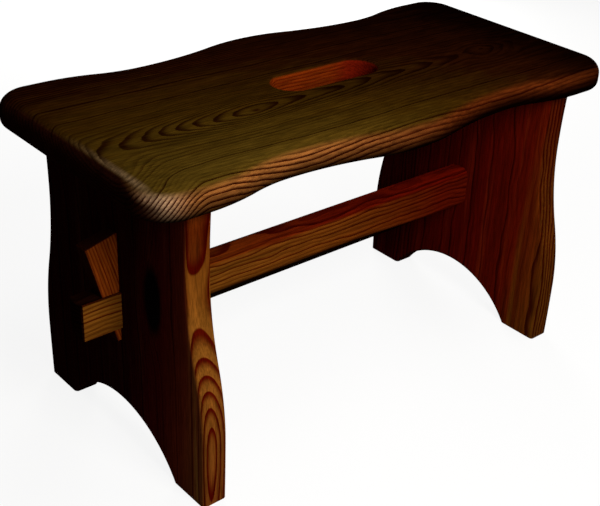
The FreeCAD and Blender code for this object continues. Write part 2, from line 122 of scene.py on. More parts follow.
def solid(name, places, faces, rolled):
    """A closed mesh from points and faces, its doubles merged.

    Its points carry the mark rolled, which goes from 0 on a face to 1 where its rounding ends.
    """
    mesh = bpy.data.meshes.new(name)
    mesh.from_pydata(places.tolist(), [], faces)
    layer = mesh.attributes.new("rolled", "FLOAT", "POINT")
    layer.data.foreach_set("value", np.asarray(rolled, np.float32))
    work = bmesh.new()
    work.from_mesh(mesh)
    bmesh.ops.remove_doubles(work, verts=work.verts, dist=MERGE_DISTANCE)
    bmesh.ops.recalc_face_normals(work, faces=work.faces)
    work.to_mesh(mesh)
    work.free()
    mesh.shade_smooth()
    mesh.set_sharp_from_angle(angle=SHARP_ANGLE)
    piece = bpy.data.objects.new(name, mesh)
    bpy.context.scene.collection.objects.link(piece)
    return piece


def leg_mesh(name, near_x):
    """One leg: its edges are the outline carried through a section that rounds both arrises.

    Each edge is a grid of outline points by section rows. A row lies at a depth through the board
    and is drawn in from the outline along its normal, level at the outline's ends, so that the
    soles and the top stay flat. The two faces, the soles and the top are then filled between the
    grids' outer rows.
    """
    heights = np.linspace(0, LEG_HEIGHT, int(LEG_HEIGHT / LEG_STEP) + 1)
    back = np.stack([leg_half_width(heights), heights], axis=1)
    front = back[::-1] * (-1, 1)
    turns = np.linspace(-1, 1, int(2 * ARCH_HALF / LEG_STEP) + 1)
    arch_radius = arc_radius(ARCH_HALF, ARCH_RISE)
    angle = turns * math.asin(ARCH_HALF / arch_radius)
    arch = np.stack([arch_radius * np.sin(angle), ARCH_RISE - arch_radius * (1 - np.cos(angle))], axis=1)
    depth, inset = rounding(LEG_ROUND, ROUND_ROWS)
    depth = np.concatenate([depth, LEG_THICK - depth[::-1]])
    inset = np.concatenate([inset, inset[::-1]])
    rows = len(depth)
    edges = []
    for outline in (front, arch, back):
        outward = normals_along(outline)
        for end in (0, -1):
            outward[end] = (1 / outward[end, 0], 0)
        drawn = outline[:, None, :] - outward[:, None, :] * inset[None, :, None]
        across = np.broadcast_to(near_x + depth, drawn.shape[:2])
        edges.append(np.concatenate([across[..., None], drawn], axis=-1))
    starts = np.cumsum([0] + [edge.shape[0] * rows for edge in edges])
    faces = [face for edge, start in zip(edges, starts) for face in grid_faces(len(edge), rows, start)]
    corners = (
        (-MORTISE_HALF, MORTISE_LOW),
        (MORTISE_HALF, MORTISE_LOW),
        (MORTISE_HALF, MORTISE_HIGH),
        (-MORTISE_HALF, MORTISE_HIGH),
    )
    count = len(corners)
    walls = [(near_x + through, y, z) for through in (0, LEG_THICK) for y, z in corners]
    places = np.concatenate([edge.reshape(-1, 3) for edge in edges] + [walls])
    turned = np.linspace(0, 1, ROUND_ROWS)
    turned = np.concatenate([turned, turned[::-1]])
    rolled = np.concatenate([np.tile(turned, len(edge)) for edge in edges] + [np.zeros(len(walls))])
    first = starts[-1]

    def line_of(edge, row):
        """Indices of one row of an edge's grid, from its first outline point to its last."""
        return starts[edge] + np.arange(len(edges[edge])) * rows + row

    for side, row in ((0, 0), (1, rows - 1)):
        outer = np.concatenate([line_of(edge, row) for edge in range(3)])
        mortise = first + count * side + np.arange(count)
        faces += fill([outer, mortise], places)
    for corner in range(count):
        after = (corner + 1) % count
        faces.append([first + corner, first + after, first + count + after, first + count + corner])

    def section(edge, last):
        """Indices of the section at one end of an edge's grid: its last for 1, its first for 0."""
        begin = starts[edge] + (len(edges[edge]) - 1) * rows * last
        return begin + np.arange(rows)

    for edge, after in ((0, 1), (1, 2), (2, 0)):
        faces += fill([np.concatenate([section(edge, 1), section(after, 0)[::-1]])], places)
    return solid(name, places, faces, rolled)


class Shader:
    """A material's node tree, with short calls that each add one node or a few and return the output."""

    def __init__(self, name):
        self.material = bpy.data.materials.new(name)
        self.material.use_nodes = True
        self.tree = self.material.node_tree
        self.surface = self.tree.nodes["Principled BSDF"]

    def put(self, socket, value):
        """Links an output to an input, or sets the input to a plain value."""
        if isinstance(value, bpy.types.NodeSocket):
            self.tree.links.new(value, socket)
        else:
            socket.default_value = value

    def maths(self, operation, *values):
        """One Math node."""
        node = self.tree.nodes.new("ShaderNodeMath")
        node.operation = operation
        for socket, value in zip(node.inputs, values):
            self.put(socket, value)
        return node.outputs[0]

    def add(self, *values):
        """The sum of some values."""
        total = values[0]
        for value in values[1:]:
            total = self.maths("ADD", total, value)
        return total

    def times(self, *values):
        """The product of some values."""
        product = values[0]
        for value in values[1:]:
            product = self.maths("MULTIPLY", product, value)
        return product

    def line(self, value, gain, base):
        """A value times a gain, plus a base."""
        return self.add(self.times(value, gain), base)

    def distance(self, first, second, blunt=0.0):
        """The square root of the sum of two values' squares and the square of blunt."""
        squares = self.add(self.times(first, first), self.times(second, second), blunt * blunt)
        return self.maths("POWER", squares, 0.5)

    def split(self, vector):
        """The three parts of a vector."""
        node = self.tree.nodes.new("ShaderNodeSeparateXYZ")
        self.put(node.inputs[0], vector)
        return node.outputs

    def join(self, *parts):
        """A vector of three parts."""
        node = self.tree.nodes.new("ShaderNodeCombineXYZ")
        for socket, part in zip(node.inputs, parts):
            self.put(socket, part)
        return node.outputs[0]

    def stretch(self, vector, scale):
        """A vector whose three parts are multiplied by three numbers."""
        node = self.tree.nodes.new("ShaderNodeVectorMath")
        node.operation = "MULTIPLY"
        self.put(node.inputs[0], vector)
        node.inputs[1].default_value = scale
        return node.outputs[0]

    def millimetres(self):
        """The point in the object's own frame, in millimetres."""
        place = self.tree.nodes.new("ShaderNodeTexCoord").outputs["Object"]
        return self.stretch(place, (1 / MM, 1 / MM, 1 / MM))

    def mark(self, name):
        """A mark that the mesh carries on its points."""
        node = self.tree.nodes.new("ShaderNodeAttribute")
        node.attribute_name = name
        return node.outputs["Fac"]

    def noise(self, vector, detail=2.0, rough=0.5):
        """Smooth noise from 0 to 1 with unit-sized patches."""
        node = self.tree.nodes.new("ShaderNodeTexNoise")
        self.put(node.inputs["Vector"], vector)
        node.inputs["Scale"].default_value = 1.0
        node.inputs["Detail"].default_value = detail
        node.inputs["Roughness"].default_value = rough
        return node.outputs["Fac"]

    def chance(self, value):
        """A number from 0 to 1 that is the same wherever value is the same."""
        node = self.tree.nodes.new("ShaderNodeTexWhiteNoise")
        node.noise_dimensions = "1D"
        self.put(node.inputs["W"], value)
        return node.outputs["Value"]

    def ease(self, value, low, high, to_low=0.0, to_high=1.0):
        """A smooth step of value from low to high, given out from to_low to to_high."""
        node = self.tree.nodes.new("ShaderNodeMapRange")
        node.interpolation_type = "SMOOTHSTEP"
        for socket, number in zip(node.inputs, (value, low, high, to_low, to_high)):
            self.put(socket, number)
        return node.outputs[0]

    def blend(self, share, first, second):
        """A mix of two colours, from the first at 0 to the second at 1."""
        node = self.tree.nodes.new("ShaderNodeMix")
        node.data_type = "RGBA"
        self.put(node.inputs[0], share)
        self.put(node.inputs[6], first)
        self.put(node.inputs[7], second)
        return node.outputs[2]

    def tint(self, colour, other):
        """A colour multiplied by another."""
        node = self.tree.nodes.new("ShaderNodeMix")
        node.data_type = "RGBA"
        node.blend_type = "MULTIPLY"
        node.inputs[0].default_value = 1.0
        self.put(node.inputs[6], colour)
        self.put(node.inputs[7], other)
        return node.outputs[2]

    def shade(self, colour, share):
        """A colour multiplied by one number."""
        return self.tint(colour, self.join(share, share, share))

    def ramp(self, value, *stops):
        """A colour that passes through several colours, each at its own value from 0 to 1."""
        node = self.tree.nodes.new("ShaderNodeValToRGB")
        self.put(node.inputs[0], value)
        elements = node.color_ramp.elements
        for number, (place, colour) in enumerate(stops):
            element = elements[number] if number < 2 else elements.new(place)
            element.position = place
            element.color = colour
        return node.outputs[0]

    def relief(self, height, distance):
        """A bump of the surface by a height from 0 to 1 times a distance in metres."""
        node = self.tree.nodes.new("ShaderNodeBump")
        node.inputs["Distance"].default_value = distance
        self.put(node.inputs["Height"], height)
        return node.outputs[0]


def hill(shader, along, across, centre, reach, height):
    """A smooth hill: height times the falling bell curve of the distance over the reach."""
    first = shader.times(shader.add(along, -centre[0]), 1 / reach[0])
    second = shader.times(shader.add(across, -centre[1]), 1 / reach[1])
    squared = shader.add(shader.times(first, first), shader.times(second, second))
    return shader.times(shader.maths("EXPONENT", shader.times(squared, -1.0)), height)


# What all of the stool's wood shares. The late wood's shares are of a ring's width, the strong share
# is of the rings, and the relief's are of its depth. A tone is a gain and a base.
LATE_STARTS_SHARE, LATE_DARK_SHARE, LATE_ENDS_SHARE = 0.25, 0.85, 0.93
LATE_SHARPNESS = 1.15
STRONG_SHARE = 0.95
FIBRE_DETAIL, FIBRE_ROUGHNESS, FIBRE_FADE, FIBRE_TONE = 4.0, 0.65, (0.25, 0.75), (0.8, 0.6)
CLOUD_SCALE, CLOUD_TONE = 0.12, (0.9, 0.55)
RELIEF_DEPTH, BAND_RELIEF_SHARE, FIBRE_RELIEF_SHARE = 0.12 * MM, 0.7, 0.3
EARLY_ROUGHNESS, LATE_ROUGHNESS = 0.6, 0.48


def wood(shader, rings, fibre, early, late, faintest, faint_share, bold=0.0):
    """Softwood's look from its growth rings, counted outwards from the pith.

    Within a ring the pale early wood darkens slowly into a dark late band and ends sharply. Each
    ring has its own strength, from faintest, which faint_share of them have, to 1, or at least
    bold. Fine fibres run along the grain, and wide clouds show where the stain took more or less.
    The late bands stand a little proud of the worn early wood.
    """
    whole = shader.maths("FLOOR", rings)
    within = shader.maths("FRACT", rings)
    rise = shader.ease(within, LATE_STARTS_SHARE, LATE_DARK_SHARE)
    fall = shader.ease(within, LATE_ENDS_SHARE, 1.0, 1.0, 0.0)
    strength = shader.ease(shader.chance(whole), faint_share, STRONG_SHARE, faintest, 1.0)
    strength = shader.maths("MAXIMUM", strength, bold)
    band = shader.times(shader.maths("POWER", shader.times(rise, fall), LATE_SHARPNESS), strength)
    fine = shader.ease(shader.noise(fibre, FIBRE_DETAIL, FIBRE_ROUGHNESS), *FIBRE_FADE)
    cloud = shader.noise(shader.stretch(fibre, (CLOUD_SCALE, CLOUD_SCALE, CLOUD_SCALE)), detail=1.0)
    streak = shader.times(shader.line(fine, *FIBRE_TONE), shader.line(cloud, *CLOUD_TONE))
    colour = shader.shade(shader.blend(band, early, late), streak)
    height = shader.add(shader.times(band, BAND_RELIEF_SHARE), shader.times(fine, FIBRE_RELIEF_SHARE))
    shader.put(shader.surface.inputs["Normal"], shader.relief(height, RELIEF_DEPTH))
    return colour, band


def finish(shader, colour, band):
    """Sets the colour and a dull oiled surface with no mirror gloss, smoother on the late bands."""
    shader.put(shader.surface.inputs["Base Color"], colour)
    roughness = shader.ease(band, 0.0, 1.0, EARLY_ROUGHNESS, LATE_ROUGHNESS)
    shader.put(shader.surface.inputs["Roughness"], roughness)
    shader.surface.inputs["Specular IOR Level"].default_value = 0.0
    return shader.material


# The legs' wood, in millimetres. Patches are how many there are in a millimetre along each axis. A
# fade is where it starts and ends and what it goes from and to. A hill is its centre, its reach and
# its height in rings. A tint multiplies the early wood's colour.
LEG_SWAY_PATCHES, LEG_SWAY = (0.015, 0.015, 0.012), 2.0
LEG_PITH_BLUNT = 1.0
LEG_RING_GROWTH = 0.1613
LEG_CLOSE_FROM = 27.0
LEG_UPPER_RINGS = (140.0, 180.0, 0.27, -0.63)
LEG_WAVER_PATCHES, LEG_WAVER = (0.05, 0.05, 0.018), 2.5
LEG_KNOT_FLOW = ((-43.5, 129.0), (15.0, 32.0), -6.0)
LEG_KNOT_CORE = ((-43.5, 129.0), (9.5, 25.0), 1.0)
LEG_KNOT_FADE = (0.2, 0.6)
LEG_KNOT_COLOUR = (0.003, 0.001, 0.0008, 1)
LEG_OVAL = ((-163.0, 38.0), (4.5, 32.0), -0.45)
LEG_FIBRE = (1.3, 1.3, 0.06)
LEG_DEEP, LEG_TONES_LEAN = 190.0, 0.14
LEG_STREAK_PATCHES, LEG_STREAK_FADE = (0.11, 0.11, 0.005), (0.5, 0.7)
LEG_STREAK_GAINS = (0.4, 1.8, 1.0)
LEG_ARRIS_FADE = (0.2, 0.45)
# Painted shade: the arch faces down and is painted darker.
LEG_ARCH_FADE = (66.0, 76.0, 1.0, 0.0)
LEG_ARCH_SHADE = (0.03, 0.004, 0.0015, 1)
LEG_FACE_LATE_TINT = (0.3, 0.15, 0.3, 1)
LEG_EDGE_LATE_TINT = (0.34, 0.04, 0.04, 1)
LEG_FAINTEST, LEG_FAINT_SHARE = 0.15, 0.35
# A face's tones run from its front to its back, an edge's from the foot to the top. Their darkening towards
# the back and towards the top is painted shade.
LEFT_FACE = (
    (0.0, (0.17, 0.05, 0.012, 1)),
    (0.15, (0.11, 0.016, 0.005, 1)),
    (0.3, (0.05, 0.003, 0.0022, 1)),
    (0.48, (0.018, 0.0014, 0.001, 1)),
)
LEFT_EDGE = (
    (0.0, (0.16, 0.042, 0.006, 1)),
    (0.6, (0.19, 0.066, 0.008, 1)),
    (0.78, (0.17, 0.05, 0.005, 1)),
    (0.92, (0.11, 0.018, 0.0015, 1)),
)
RIGHT_FACE = (
    (0.0, (0.13, 0.036, 0.003, 1)),
    (0.1, (0.13, 0.022, 0.002, 1)),
    (0.22, (0.12, 0.006, 0.001, 1)),
    (0.45, (0.09, 0.0025, 0.0008, 1)),
    (0.9, (0.03, 0.0008, 0.0006, 1)),
)
RIGHT_EDGE = (
    (0.0, (0.1, 0.03, 0.003, 1)),
    (0.6, (0.085, 0.02, 0.002, 1)),
    (0.9, (0.07, 0.008, 0.001, 1)),
)


def leg_wood(name, pith, close, knotty, faces, edges):
    """A leg's material: rings round an upright pith line just outside its front edge.

    Near the pith each ring is wider than the last by the same share, so the count is the natural
    logarithm of the distance over that growth. Further out the rings come closer, by close more
    rings a millimetre. A knotty leg's rings flow round its knot, and another's waver. The broad
    faces took the stain in streaks. The faces darken towards the back, which makes them darker
    than the sawn edges, and the edges darken towards the top: that is painted shade. The arch is
    darker still, painted shade where it faces down.
    """
    shader = Shader(name)
    place = shader.millimetres()
    x, y, z = shader.split(place)
    sway = shader.noise(shader.stretch(place, LEG_SWAY_PATCHES), detail=1.0)
    outwards = shader.add(y, -pith[1], shader.line(sway, LEG_SWAY, -LEG_SWAY / 2))
    distance = shader.distance(shader.add(x, -pith[0]), outwards, LEG_PITH_BLUNT)
    past = shader.maths("MAXIMUM", shader.add(distance, -LEG_CLOSE_FROM), 0.0)
    if knotty:
        flow = shader.add(hill(shader, y, z, *LEG_KNOT_FLOW), hill(shader, x, z, *LEG_OVAL))
    else:
        flow = shader.times(shader.noise(shader.stretch(place, LEG_WAVER_PATCHES)), LEG_WAVER)
    rings = shader.add(
        shader.times(shader.maths("LOGARITHM", distance, math.e), 1 / LEG_RING_GROWTH),
        shader.times(past, close),
        flow,
        shader.ease(z, *LEG_UPPER_RINGS),
    )
    turned = shader.ease(shader.mark("rolled"), *LEG_ARRIS_FADE)
    foot_to_top = shader.times(z, MM / LEG_HEIGHT)
    front_to_back = shader.add(shader.line(y, 1 / LEG_DEEP, 0.5), shader.times(foot_to_top, LEG_TONES_LEAN))
    streaks = shader.ease(shader.noise(shader.stretch(place, LEG_STREAK_PATCHES)), *LEG_STREAK_FADE)
    streak_tone = shader.join(*(shader.line(streaks, gain, 1.0) for gain in LEG_STREAK_GAINS))
    # Painted shade: the faces darken towards the back and the edges towards the top.
    face = shader.tint(shader.ramp(front_to_back, *faces), streak_tone)
    # Painted shade: the arch, which faces down, is painted darker.
    arch = shader.ease(shader.maths("ABSOLUTE", y), *LEG_ARCH_FADE)
    edge = shader.blend(arch, shader.ramp(foot_to_top, *edges), LEG_ARCH_SHADE)
    early = shader.blend(turned, face, edge)
    face_late = shader.tint(face, LEG_FACE_LATE_TINT)
    late = shader.blend(turned, face_late, shader.tint(edge, LEG_EDGE_LATE_TINT))
    fibre = shader.stretch(place, LEG_FIBRE)
    colour, band = wood(shader, rings, fibre, early, late, LEG_FAINTEST, LEG_FAINT_SHARE, turned)
    if knotty:
        core = shader.ease(hill(shader, y, z, *LEG_KNOT_CORE), *LEG_KNOT_FADE)
        away = shader.maths("SUBTRACT", 1.0, turned)
        colour = shader.blend(shader.times(core, away), colour, LEG_KNOT_COLOUR)
    return finish(shader, colour, band)


# Each leg's name, its left face's place, its pith line's place along the stool and across it, how
# much closer its outer rings are, whether it has the knot, and its tones.
LEGS = (
    ("left_leg", -LEG_INNER_X - LEG_THICK, (-164.0, -106.5), 0.2, True, LEFT_FACE, LEFT_EDGE),
    ("right_leg", LEG_INNER_X, (230.0, -130.0), 0.24, False, RIGHT_FACE, RIGHT_EDGE),
)
for leg_name, leg_x, *leg_grain in LEGS:
    leg = leg_mesh(leg_name, leg_x)
    leg.data.materials.append(leg_wood(f"{leg_name}_wood", *leg_grain))
    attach(leg, "frame")
    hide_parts(f"{leg_name}_board")

# Rail: a softwood batten with rounded long edges, which keeps the legs apart. Its tenons pass
# through them, and a wedge outside each leg holds them.
RAIL_PITH_Y, RAIL_PITH_Z, RAIL_GRAIN_RISE = 10.0, 160.0, 0.02
RAIL_SWAY_PATCHES, RAIL_SWAY = (0.014, 0.03, 0.03), 16.0
RAIL_RING = 3.2
RAIL_FIBRE = (0.06, 1.3, 1.3)
# Painted shade: the rail darkens and reddens to the right and on its top, and is dark under its lower edge.
RAIL_TOP_SLANT, RAIL_TOP_FADE = 0.4, (109.0, 112.5)
RAIL_UNDER_FADE, RAIL_UNDER_RIGHT = (92.0, 95.0, 0.02, 1.0), (20.0, 140.0, 0.0, 6.0)
TENON_FADE, TENON_END_FADE, TENON_UNDER_CLEAR = (151.0, 153.0), (197.2, 197.6), 10.0
TENON_TOP_FADE, TENON_FRONT_FADE = (116.6, 117.1), (-6.8, -5.8)
# Painted shade on the tenons' tops behind the front arris, and dark end grain in painted shade on their ends.
TENON_SHADED = (0.01, 0.002, 0.0008, 1)
RAIL_TONES = (
    (0.1, (0.17, 0.058, 0.006, 1)),
    (0.5, (0.17, 0.045, 0.004, 1)),
    (0.75, (0.12, 0.018, 0.0015, 1)),
    (0.9, (0.1, 0.006, 0.0008, 1)),
)
RAIL_TOP_TONES = (
    (0.1, (0.13, 0.025, 0.002, 1)),
    (0.5, (0.11, 0.006, 0.0008, 1)),
    (0.9, (0.12, 0.004, 0.0005, 1)),
)
RAIL_LATE_TINT = (0.32, 0.1, 0.08, 1)
RAIL_FAINTEST, RAIL_FAINT_SHARE = 0.5, 0.1


def rail_wood():
    """Straight grain along the rail, redder to the right and on its top, dark under its edge.

    The ring count is the distance from a pith line above the rail over the rings' width. Its
    redder, darker right end and top and the dark under its edge are painted shade. The tenons'
    ends and all of their tops but the front arris are dark: on the tops that is painted shade,
    and on the ends it is dark end grain in painted shade.
    """
    shader = Shader("rail_wood")
    place = shader.millimetres()
    x, y, z = shader.split(place)
    sway = shader.line(shader.noise(shader.stretch(place, RAIL_SWAY_PATCHES)), RAIL_SWAY, -RAIL_SWAY / 2)
    upwards = shader.add(z, -RAIL_PITH_Z, sway, shader.times(x, RAIL_GRAIN_RISE))
    rings = shader.times(shader.distance(shader.add(y, -RAIL_PITH_Y), upwards), 1 / RAIL_RING)
    # Painted shade: darker to the right, on the top and under the lower edge.
    left_to_right = shader.line(x, MM / (2 * LEG_INNER_X), 0.5)
    outwards = shader.maths("ABSOLUTE", x)
    tenon = shader.ease(outwards, *TENON_FADE)
    rail_top = shader.ease(shader.add(z, shader.times(y, RAIL_TOP_SLANT)), *RAIL_TOP_FADE)
    # Painted shade on the tenons' tops behind the front arris and on their ends.
    tenon_top = shader.times(shader.ease(z, *TENON_TOP_FADE), shader.ease(y, *TENON_FRONT_FADE))
    flat = shader.blend(tenon, shader.ramp(left_to_right, *RAIL_TOP_TONES), TENON_SHADED)
    over = shader.blend(tenon, rail_top, tenon_top)
    early = shader.blend(over, shader.ramp(left_to_right, *RAIL_TONES), flat)
    early = shader.blend(shader.ease(outwards, *TENON_END_FADE), early, TENON_SHADED)
    above = shader.add(z, shader.times(tenon, TENON_UNDER_CLEAR), shader.ease(x, *RAIL_UNDER_RIGHT))
    early = shader.shade(early, shader.ease(above, *RAIL_UNDER_FADE))
    late = shader.tint(early, RAIL_LATE_TINT)
    fibre = shader.stretch(place, RAIL_FIBRE)
    return finish(shader, *wood(shader, rings, fibre, early, late, RAIL_FAINTEST, RAIL_FAINT_SHARE))


def clad(node, material):
    """Gives a CAD node a material in place of its plain one."""
    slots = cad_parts[node].material_slots
    if slots:
        slots[0].material = material
    else:
        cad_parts[node].data.materials.append(material)


clad("stretcher_rail", rail_wood())

# Wedges: two tapered offcuts of the same softwood, straight-grained along their slanted side. Each
# is driven down through its tenon, where the taper alone holds it.
WEDGE_LEAN = math.radians(15)
WEDGE_SWAY_PATCHES, WEDGE_SWAY = (0.05, 0.05, 0.03), 2.0
WEDGE_RING, WEDGE_RINGS_SLANT = 2.1, 0.3
WEDGE_FIBRE = (1.3, 1.3, 0.06)
WEDGE_OUTER_FADE, WEDGE_STRUCK_FADE = (145.4, 145.8), (197.8, 198.2)
WEDGE_EARLY, WEDGE_LATE = (0.22, 0.044, 0.004, 1), (0.1, 0.007, 0.0005, 1)
# Painted shade on the wedge's outer side and struck top.
WEDGE_SHADED = (0.025, 0.004, 0.0015, 1)
WEDGE_FAINTEST, WEDGE_FAINT_SHARE = 0.7, 0.1


def wedge_wood(name, side):
    """Straight grain along the wedge's slanted side, which leans outwards.

    The rings are flat there, so their count is the distance across that side over their width.
    The wedge's outer side and its struck top are dark: painted shade.
    """
    shader = Shader(name)
    x, y, z = shader.split(shader.millimetres())
    across = shader.add(shader.times(x, side * math.cos(WEDGE_LEAN)), shader.times(z, -math.sin(WEDGE_LEAN)))
    along = shader.add(shader.times(x, side * math.sin(WEDGE_LEAN)), shader.times(z, math.cos(WEDGE_LEAN)))
    place = shader.join(across, y, along)
    sway = shader.noise(shader.stretch(place, WEDGE_SWAY_PATCHES), detail=1.0)
    through = shader.add(across, shader.times(y, WEDGE_RINGS_SLANT), shader.times(sway, WEDGE_SWAY))
    rings = shader.times(through, 1 / WEDGE_RING)
    fibre = shader.stretch(place, WEDGE_FIBRE)
    grain = (WEDGE_EARLY, WEDGE_LATE, WEDGE_FAINTEST, WEDGE_FAINT_SHARE)
    colour, band = wood(shader, rings, fibre, *grain)
    # Painted shade: the outer side and the struck top are dark.
    outer = shader.ease(across, *WEDGE_OUTER_FADE)
    struck = shader.ease(along, *WEDGE_STRUCK_FADE)
    return finish(shader, shader.blend(shader.maths("MAXIMUM", outer, struck), colour, WEDGE_SHADED), band)


for wedge_node, wedge_side in (("left_wedge", -1), ("right_wedge", 1)):
    clad(wedge_node, wedge_wood(f"{wedge_node}_wood", wedge_side))

# Dowels: lengths of pale hardwood rod, three to a leg. They are glued into blind holes in the leg
# and the seat and are hidden there.
DOWEL_RING, DOWEL_RINGS_SLANT = 1.5, 0.4
DOWEL_FIBRE = (4.0, 4.0, 0.1)
DOWEL_EARLY, DOWEL_LATE = (0.55, 0.4, 0.24, 1), (0.42, 0.28, 0.15, 1)
DOWEL_FAINTEST, DOWEL_FAINT_SHARE = 0.4, 0.1


def dowel_wood():
    """Fine straight grain along the rod: flat rings, counted across it over their width."""
    shader = Shader("dowel_wood")
    place = shader.millimetres()
    x, y, _ = shader.split(place)
    rings = shader.times(shader.add(x, shader.times(y, DOWEL_RINGS_SLANT)), 1 / DOWEL_RING)
    fibre = shader.stretch(place, DOWEL_FIBRE)
    grain = (DOWEL_EARLY, DOWEL_LATE, DOWEL_FAINTEST, DOWEL_FAINT_SHARE)
    return finish(shader, *wood(shader, rings, fibre, *grain))


dowel_material = dowel_wood()
for dowel_node in sorted(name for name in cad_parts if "_dowel_" in name):
    clad(dowel_node, dowel_material)

# Seat: one wide flat-sawn board with a wavy plan, a broad rounding on top, a smaller one below
# and a hand slot. Its heart side is up, so the rings open upwards at the front edge.
SEAT_END = 200 * MM
SEAT_LOW, SEAT_HIGH = 206.5 * MM, 227 * MM
SEAT_BULGE_HALF, SEAT_BULGE_RADIUS = 98.4 * MM, 140 * MM
SEAT_WAIST_X, SEAT_WAIST_DIP, SEAT_WAIST_RADIUS = 98 * MM, 12.5 * MM, 99 * MM
SEAT_SHOULDER_X, SEAT_END_DIP = 163 * MM, 3.2 * MM
SEAT_CORNER = 24 * MM
SEAT_TOP_ROUND, SEAT_UNDER_ROUND = 10 * MM, 6 * MM
SLOT_HALF, SLOT_RADIUS = 43 * MM, 14 * MM
SLOT_ROUND, SLOT_UNDER_ROUND = 3 * MM, 1.5 * MM
SLOT_END_POINTS = 40
SEAT_STEP = 1.5 * MM
SEAT_ROWS = 15


def seat_half_depth(x):
    """Half the seat's depth at a distance from mid length: bulge, waist and shoulder arcs."""
    waist = SEAT_BULGE_HALF - SEAT_WAIST_DIP
    end = SEAT_BULGE_HALF - SEAT_END_DIP
    rise = end - waist
    inner = arc_radius(SEAT_WAIST_X, SEAT_WAIST_DIP)
    outer = arc_radius(SEAT_SHOULDER_X - SEAT_WAIST_X, rise)
    meet_in = SEAT_WAIST_X * SEAT_BULGE_RADIUS / inner
    meet_out = SEAT_WAIST_X + (SEAT_SHOULDER_X - SEAT_WAIST_X) * SEAT_WAIST_RADIUS / outer
    return np.select(
        [x < meet_in, x < SEAT_WAIST_X, x < meet_out, x < SEAT_SHOULDER_X],
        [
            bulge(x, 0, SEAT_BULGE_HALF, SEAT_BULGE_RADIUS),
            dish(x, SEAT_WAIST_X, waist, inner - SEAT_BULGE_RADIUS),
            dish(x, SEAT_WAIST_X, waist, SEAT_WAIST_RADIUS),
            bulge(x, SEAT_SHOULDER_X, end, outer - SEAT_WAIST_RADIUS),
        ],
        end,
    )


def seat_outline():
    """The seat's plan, anticlockwise from the middle of its front edge.

    A quarter of it, the wavy front, a corner arc and half an end, is mirrored back and then left.
    """
    straight = SEAT_END - SEAT_CORNER
    end_half = SEAT_BULGE_HALF - SEAT_END_DIP
    x = np.linspace(0, straight, int(straight / SEAT_STEP) + 1)
    front = np.stack([x, -seat_half_depth(x)], axis=1)
    turn = np.linspace(-math.pi / 2, 0, int(SEAT_CORNER * math.pi / 2 / SEAT_STEP) + 1)[1:]
    corner = np.stack(
        [straight + SEAT_CORNER * np.cos(turn), SEAT_CORNER - end_half + SEAT_CORNER * np.sin(turn)], axis=1
    )
    y = np.linspace(SEAT_CORNER - end_half, 0, int((end_half - SEAT_CORNER) / SEAT_STEP) + 1)[1:]
    side = np.stack([np.full_like(y, SEAT_END), y], axis=1)
    quarter = np.concatenate([front, corner, side])
    right = np.concatenate([quarter, (quarter * (1, -1))[-2::-1]])
    return np.concatenate([right, (right * (-1, 1))[-2:0:-1]])


def closed_normals(outline):
    """Outward unit normals of a closed anticlockwise line of points."""
    way = np.roll(outline, -1, axis=0) - np.roll(outline, 1, axis=0)
    way /= np.linalg.norm(way, axis=1, keepdims=True)
    return np.stack([way[:, 1], -way[:, 0]], axis=1)


def carried_down(outline, outward, insets, levels):
    """A grid of outline points by levels, each level drawn against outward by its inset."""
    drawn = outline[:, None, :] - outward[:, None, :] * insets[None, :, None]
    return np.concatenate([drawn, np.broadcast_to(levels, drawn.shape[:2])[..., None]], axis=-1)


def seat_mesh():
    """The seat: its outline carried down a section of two roundings, and the slot's down another."""
    outline = seat_outline()
    over, over_in = rounding(SEAT_TOP_ROUND, SEAT_ROWS)
    under, under_in = rounding(SEAT_UNDER_ROUND, SEAT_ROWS)
    levels = np.concatenate([SEAT_HIGH - over, SEAT_LOW + under[::-1]])
    insets = np.concatenate([over_in, under_in[::-1]])
    rows = len(levels)
    rim = carried_down(outline, closed_normals(outline), insets, levels)
    turn = np.linspace(-math.pi / 2, math.pi / 2, SLOT_END_POINTS)
    round_end = np.stack([np.cos(turn), np.sin(turn)], axis=1)
    right = (SLOT_HALF - SLOT_RADIUS, 0) + SLOT_RADIUS * round_end
    slot = np.concatenate([right, -right])
    slot_inward = np.concatenate([-round_end, round_end])
    dip, back = rounding(SLOT_ROUND, ROUND_ROWS)
    lift, low_back = rounding(SLOT_UNDER_ROUND, ROUND_ROWS)
    slot_levels = np.concatenate([SEAT_HIGH - dip, SEAT_LOW + lift[::-1]])
    slot_insets = np.concatenate([back, low_back[::-1]])
    slot_rows = len(slot_levels)
    wall = carried_down(slot, slot_inward, slot_insets, slot_levels)
    places = np.concatenate([rim.reshape(-1, 3), wall.reshape(-1, 3)])
    start = len(outline) * rows
    faces = grid_faces(len(outline), rows, closed=True) + grid_faces(len(slot), slot_rows, start, closed=True)
    for row, slot_row in ((0, 0), (rows - 1, slot_rows - 1)):
        outer = np.arange(len(outline)) * rows + row
        inner = start + np.arange(len(slot)) * slot_rows + slot_row
        faces += fill([outer, inner], places)
    turned = np.concatenate([np.linspace(0, 1, SEAT_ROWS), np.ones(SEAT_ROWS)])
    slot_turned = np.concatenate([np.linspace(0, 1, ROUND_ROWS), np.ones(ROUND_ROWS)])
    rolled = np.concatenate([np.tile(turned, len(outline)), np.tile(slot_turned, len(slot))])
    return solid("seat", places, faces, rolled)


